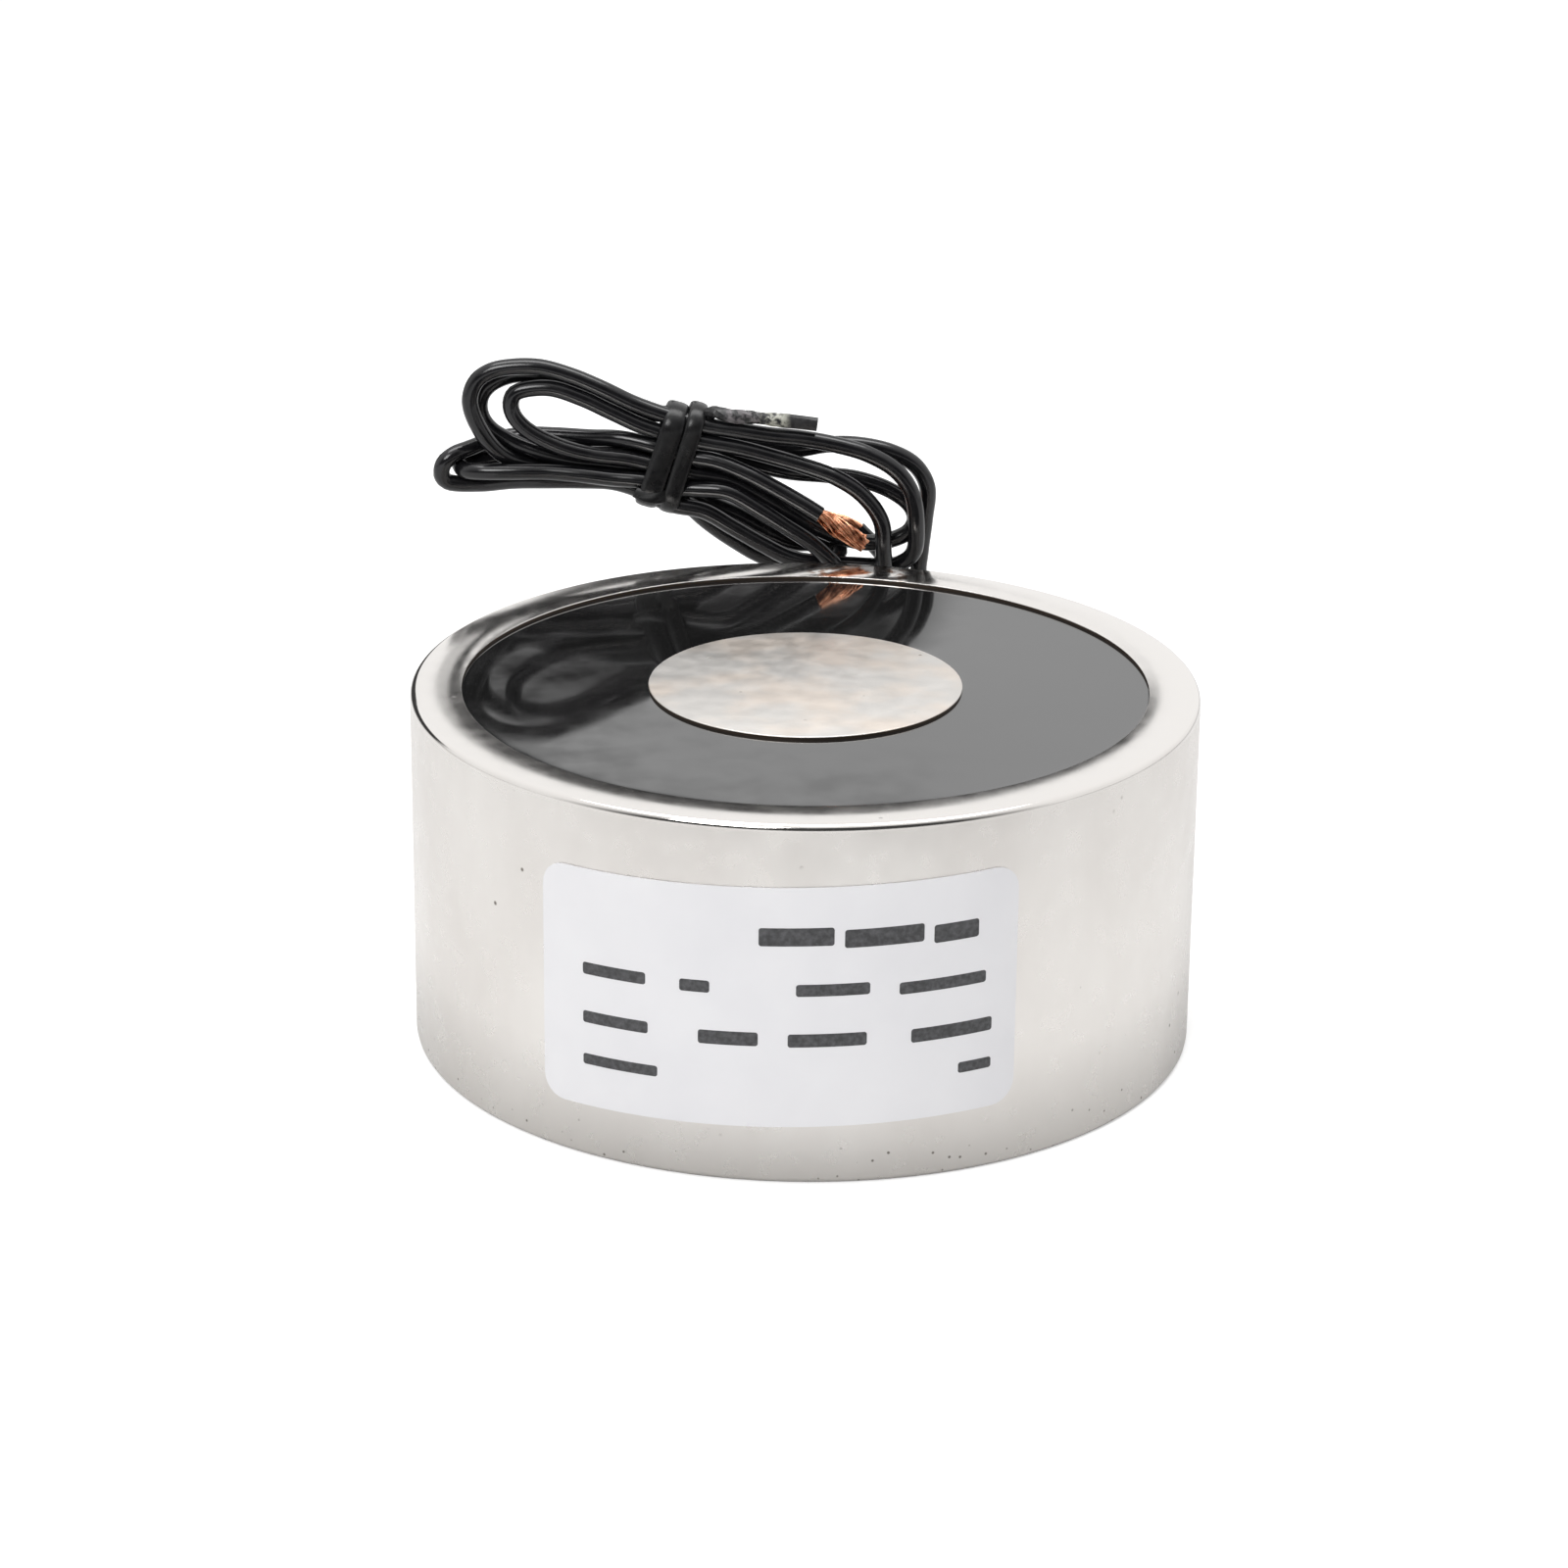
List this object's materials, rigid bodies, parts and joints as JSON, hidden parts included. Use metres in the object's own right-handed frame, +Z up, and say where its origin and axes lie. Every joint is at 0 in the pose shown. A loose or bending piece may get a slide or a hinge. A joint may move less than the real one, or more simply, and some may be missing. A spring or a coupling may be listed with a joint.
{
  "type": "holding electromagnet",
  "caption": "Round pot electromagnet with a centre pole, potted coil, plain side label and black leads tied in a hank behind it.",
  "frame": {"origin": "centre of the flat base face, on the surface that the magnet stands on", "axes": "+Z up through the pole faces, the label faces -Y, the leads leave on the +Y side"},
  "size_m": [0.0667, 0.0728, 0.0476],
  "materials": {
    "nickel_plate": "satin nickel plate on turned steel, brighter on the pole faces",
    "potting_resin": "glossy black cast resin",
    "bobbin_nylon": "natural moulded nylon",
    "enamelled_copper": "enamelled copper wire",
    "winding_tape": "amber insulating tape",
    "joint_sleeving": "white woven sleeving",
    "solder": "dull solder",
    "exit_sleeve": "black soft sleeve",
    "lead_insulation": "semi-gloss black insulation",
    "bare_copper": "bare stranded copper",
    "tie_plastic": "matte black flat twist tie",
    "label_film": "cool white label film with plain dark bars"
  },
  "bodies": {
    "root": {"pot_housing": "nickel_plate", "potting_resin": "potting_resin", "coil_bobbin": "bobbin_nylon", "coil_winding": "enamelled_copper", "coil_start_tail": "enamelled_copper", "coil_finish_tail": "enamelled_copper", "winding_tape": "winding_tape", "joint_sleeve_a": "joint_sleeving", "joint_sleeve_b": "joint_sleeving", "soldered_joint_a": "solder", "soldered_joint_b": "solder", "exit_sleeve": "exit_sleeve", "lead_a": "lead_insulation", "lead_b": "lead_insulation", "lead_hank": "lead_insulation", "conductor_end_a": "bare_copper", "conductor_end_b": "bare_copper", "hank_tie": "tie_plastic", "rating_label": "label_film"}
  },
  "joints": []
}
